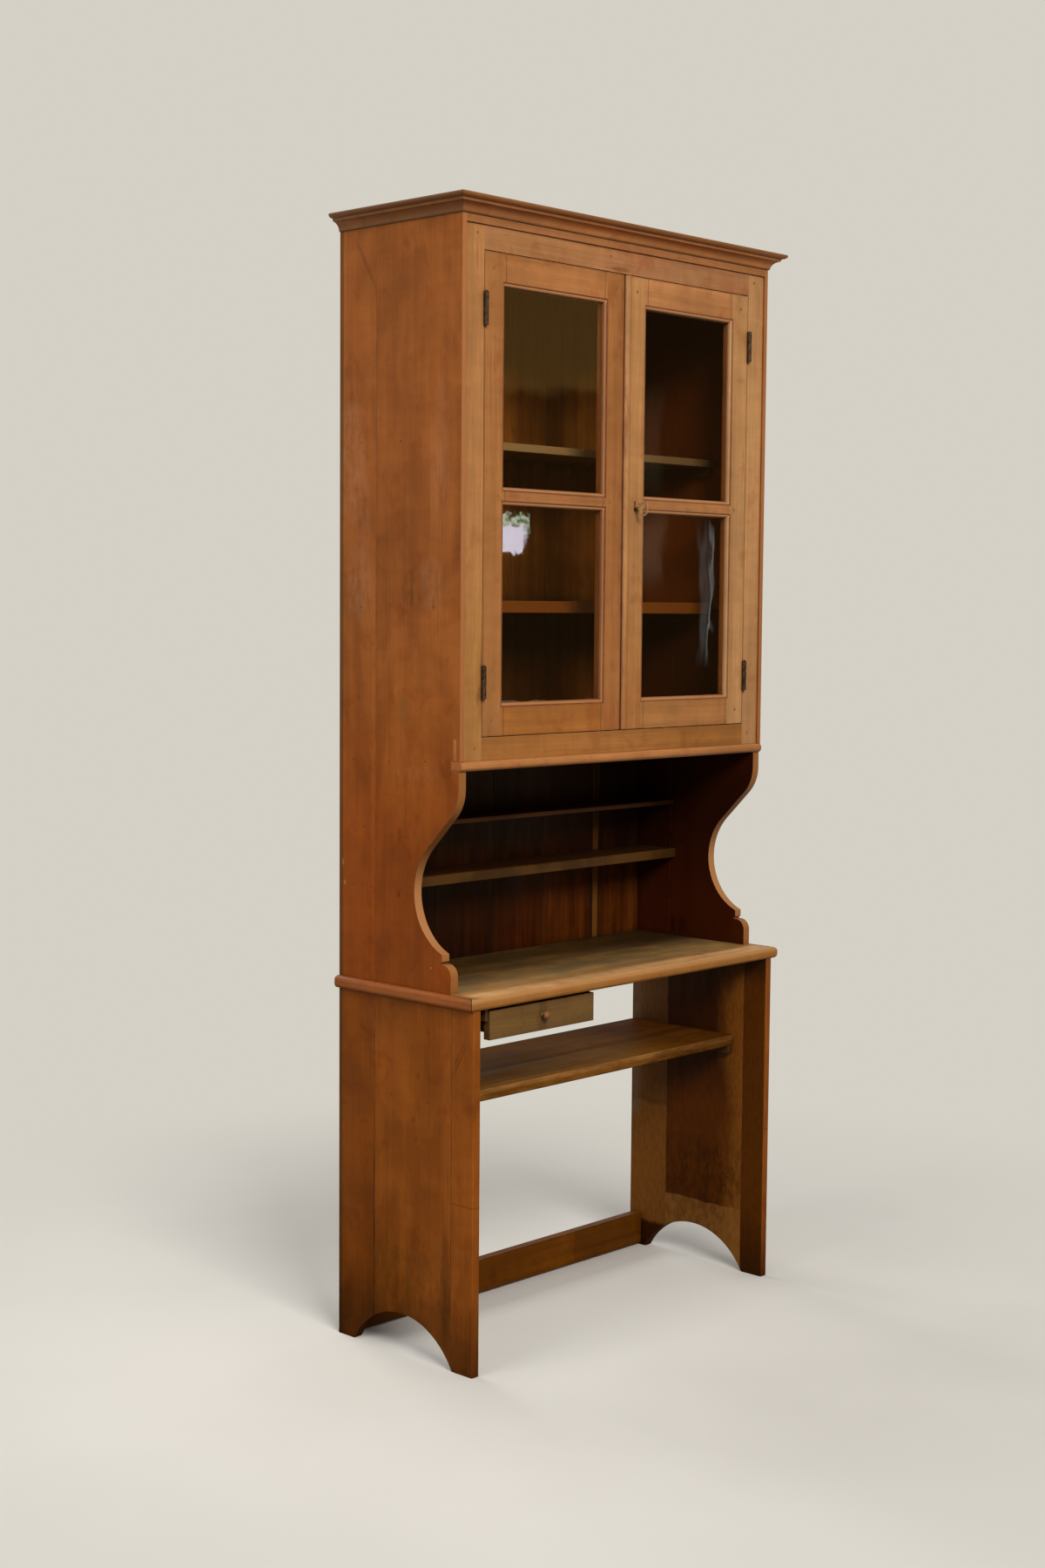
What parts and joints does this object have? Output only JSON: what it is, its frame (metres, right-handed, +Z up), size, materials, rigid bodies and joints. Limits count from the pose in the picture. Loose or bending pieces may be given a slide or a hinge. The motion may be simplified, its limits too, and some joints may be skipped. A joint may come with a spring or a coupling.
{
  "type": "step back cupboard",
  "caption": "Tall wooden kitchen cupboard: open base with arched feet, shelf and hanging drawer, open niche between scrolled sides, glazed cupboard with hinged doors under a cornice.",
  "frame": {"origin": "on the floor, under the middle of the bounding box", "axes": "+Z up, +X to the right as seen from the front, +Y to the back; the doors open and the drawer pulls out towards -Y"},
  "size_m": [0.97, 0.384, 2.2],
  "materials": {
    "side_wood": "old reddish-brown varnish, satin",
    "door_wood": "lighter orange-tan varnish, satin",
    "shelf_wood": "worn olive-brown, matte",
    "window_glass": "old clear glass, slightly uneven",
    "dark_iron": "dark brown iron"
  },
  "bodies": {
    "carcass": {"back_planks": "shelf_wood", "base_side_left_front_board": "side_wood", "base_side_left_middle_board": "side_wood", "base_side_left_rear_board": "side_wood", "base_side_right_front_board": "side_wood", "base_side_right_middle_board": "side_wood", "base_side_right_rear_board": "side_wood", "cabinet_floor": "shelf_wood", "cabinet_floor_bead": "side_wood", "cabinet_shelves": "shelf_wood", "cornice_front": "side_wood", "cornice_returns": "side_wood", "drawer_runners": "shelf_wood", "frame_bottom_rail": "door_wood", "frame_hinge_leaves": "dark_iron", "frame_pegs": "door_wood", "frame_stiles": "door_wood", "frame_top_fillet": "door_wood", "frame_top_rail": "door_wood", "hinge_pins": "dark_iron", "lower_shelf_boards": "shelf_wood", "niche_shelves": "shelf_wood", "rear_stretcher": "side_wood", "shelf_cleats": "side_wood", "top_board": "side_wood", "upper_side_left_front_board": "side_wood", "upper_side_left_rear_board": "side_wood", "upper_side_right_front_board": "side_wood", "upper_side_right_rear_board": "side_wood", "worktop_boards": "shelf_wood", "worktop_front_board": "door_wood", "worktop_side_nosings": "side_wood"},
    "left_door": {"left_bolt_plate": "dark_iron", "left_door_bottom_rail": "door_wood", "left_door_glazing_beads": "door_wood", "left_door_hinge_leaves": "dark_iron", "left_door_hinge_stile": "door_wood", "left_door_meeting_stile": "door_wood", "left_door_middle_rail": "door_wood", "left_door_panes": "window_glass", "left_door_pegs": "door_wood", "left_door_top_rail": "door_wood"},
    "right_door": {"lock_case": "dark_iron", "right_door_bottom_rail": "door_wood", "right_door_glazing_beads": "door_wood", "right_door_hinge_leaves": "dark_iron", "right_door_hinge_stile": "door_wood", "right_door_meeting_stile": "door_wood", "right_door_middle_rail": "door_wood", "right_door_panes": "window_glass", "right_door_pegs": "door_wood", "right_door_top_rail": "door_wood"},
    "drawer": {"drawer_front": "shelf_wood", "drawer_sides": "shelf_wood", "drawer_back": "shelf_wood", "drawer_bottom": "shelf_wood", "drawer_knob": "shelf_wood"},
    "key": {"key": "dark_iron"},
    "lock_bolt": {"lock_bolt": "dark_iron"},
    "left_bolt": {"left_bolt_rod": "dark_iron"}
  },
  "joints": [
    {"name": "left_door_hinge", "type": "hinge", "parent": "carcass", "child": "left_door", "pos_m": [-0.39425, -0.1448, 1.6575], "axis": [0, 0, -1], "range_deg": [0, 170]},
    {"name": "right_door_hinge", "type": "hinge", "parent": "carcass", "child": "right_door", "pos_m": [0.39425, -0.1448, 1.6575], "axis": [0, 0, 1], "range_deg": [0, 170]},
    {"name": "drawer_slide", "type": "slide", "parent": "carcass", "child": "drawer", "axis": [0, -1, 0], "range_m": [0, 0.22]},
    {"name": "key_turn", "type": "hinge", "parent": "right_door", "child": "key", "pos_m": [0.037, -0.14, 1.6485], "axis": [0, -1, 0], "range_deg": [0, 180]},
    {"name": "lock_bolt_slide", "type": "slide", "parent": "right_door", "child": "lock_bolt", "axis": [-1, 0, 0], "range_m": [0, 0.012]},
    {"name": "left_bolt_slide", "type": "slide", "parent": "left_door", "child": "left_bolt", "axis": [0, 0, 1], "range_m": [0, 0.012]}
  ],
  "couplings": [
    {"joint": "key_turn", "follows": "lock_bolt_slide", "rad_per_m": 261.8}
  ]
}
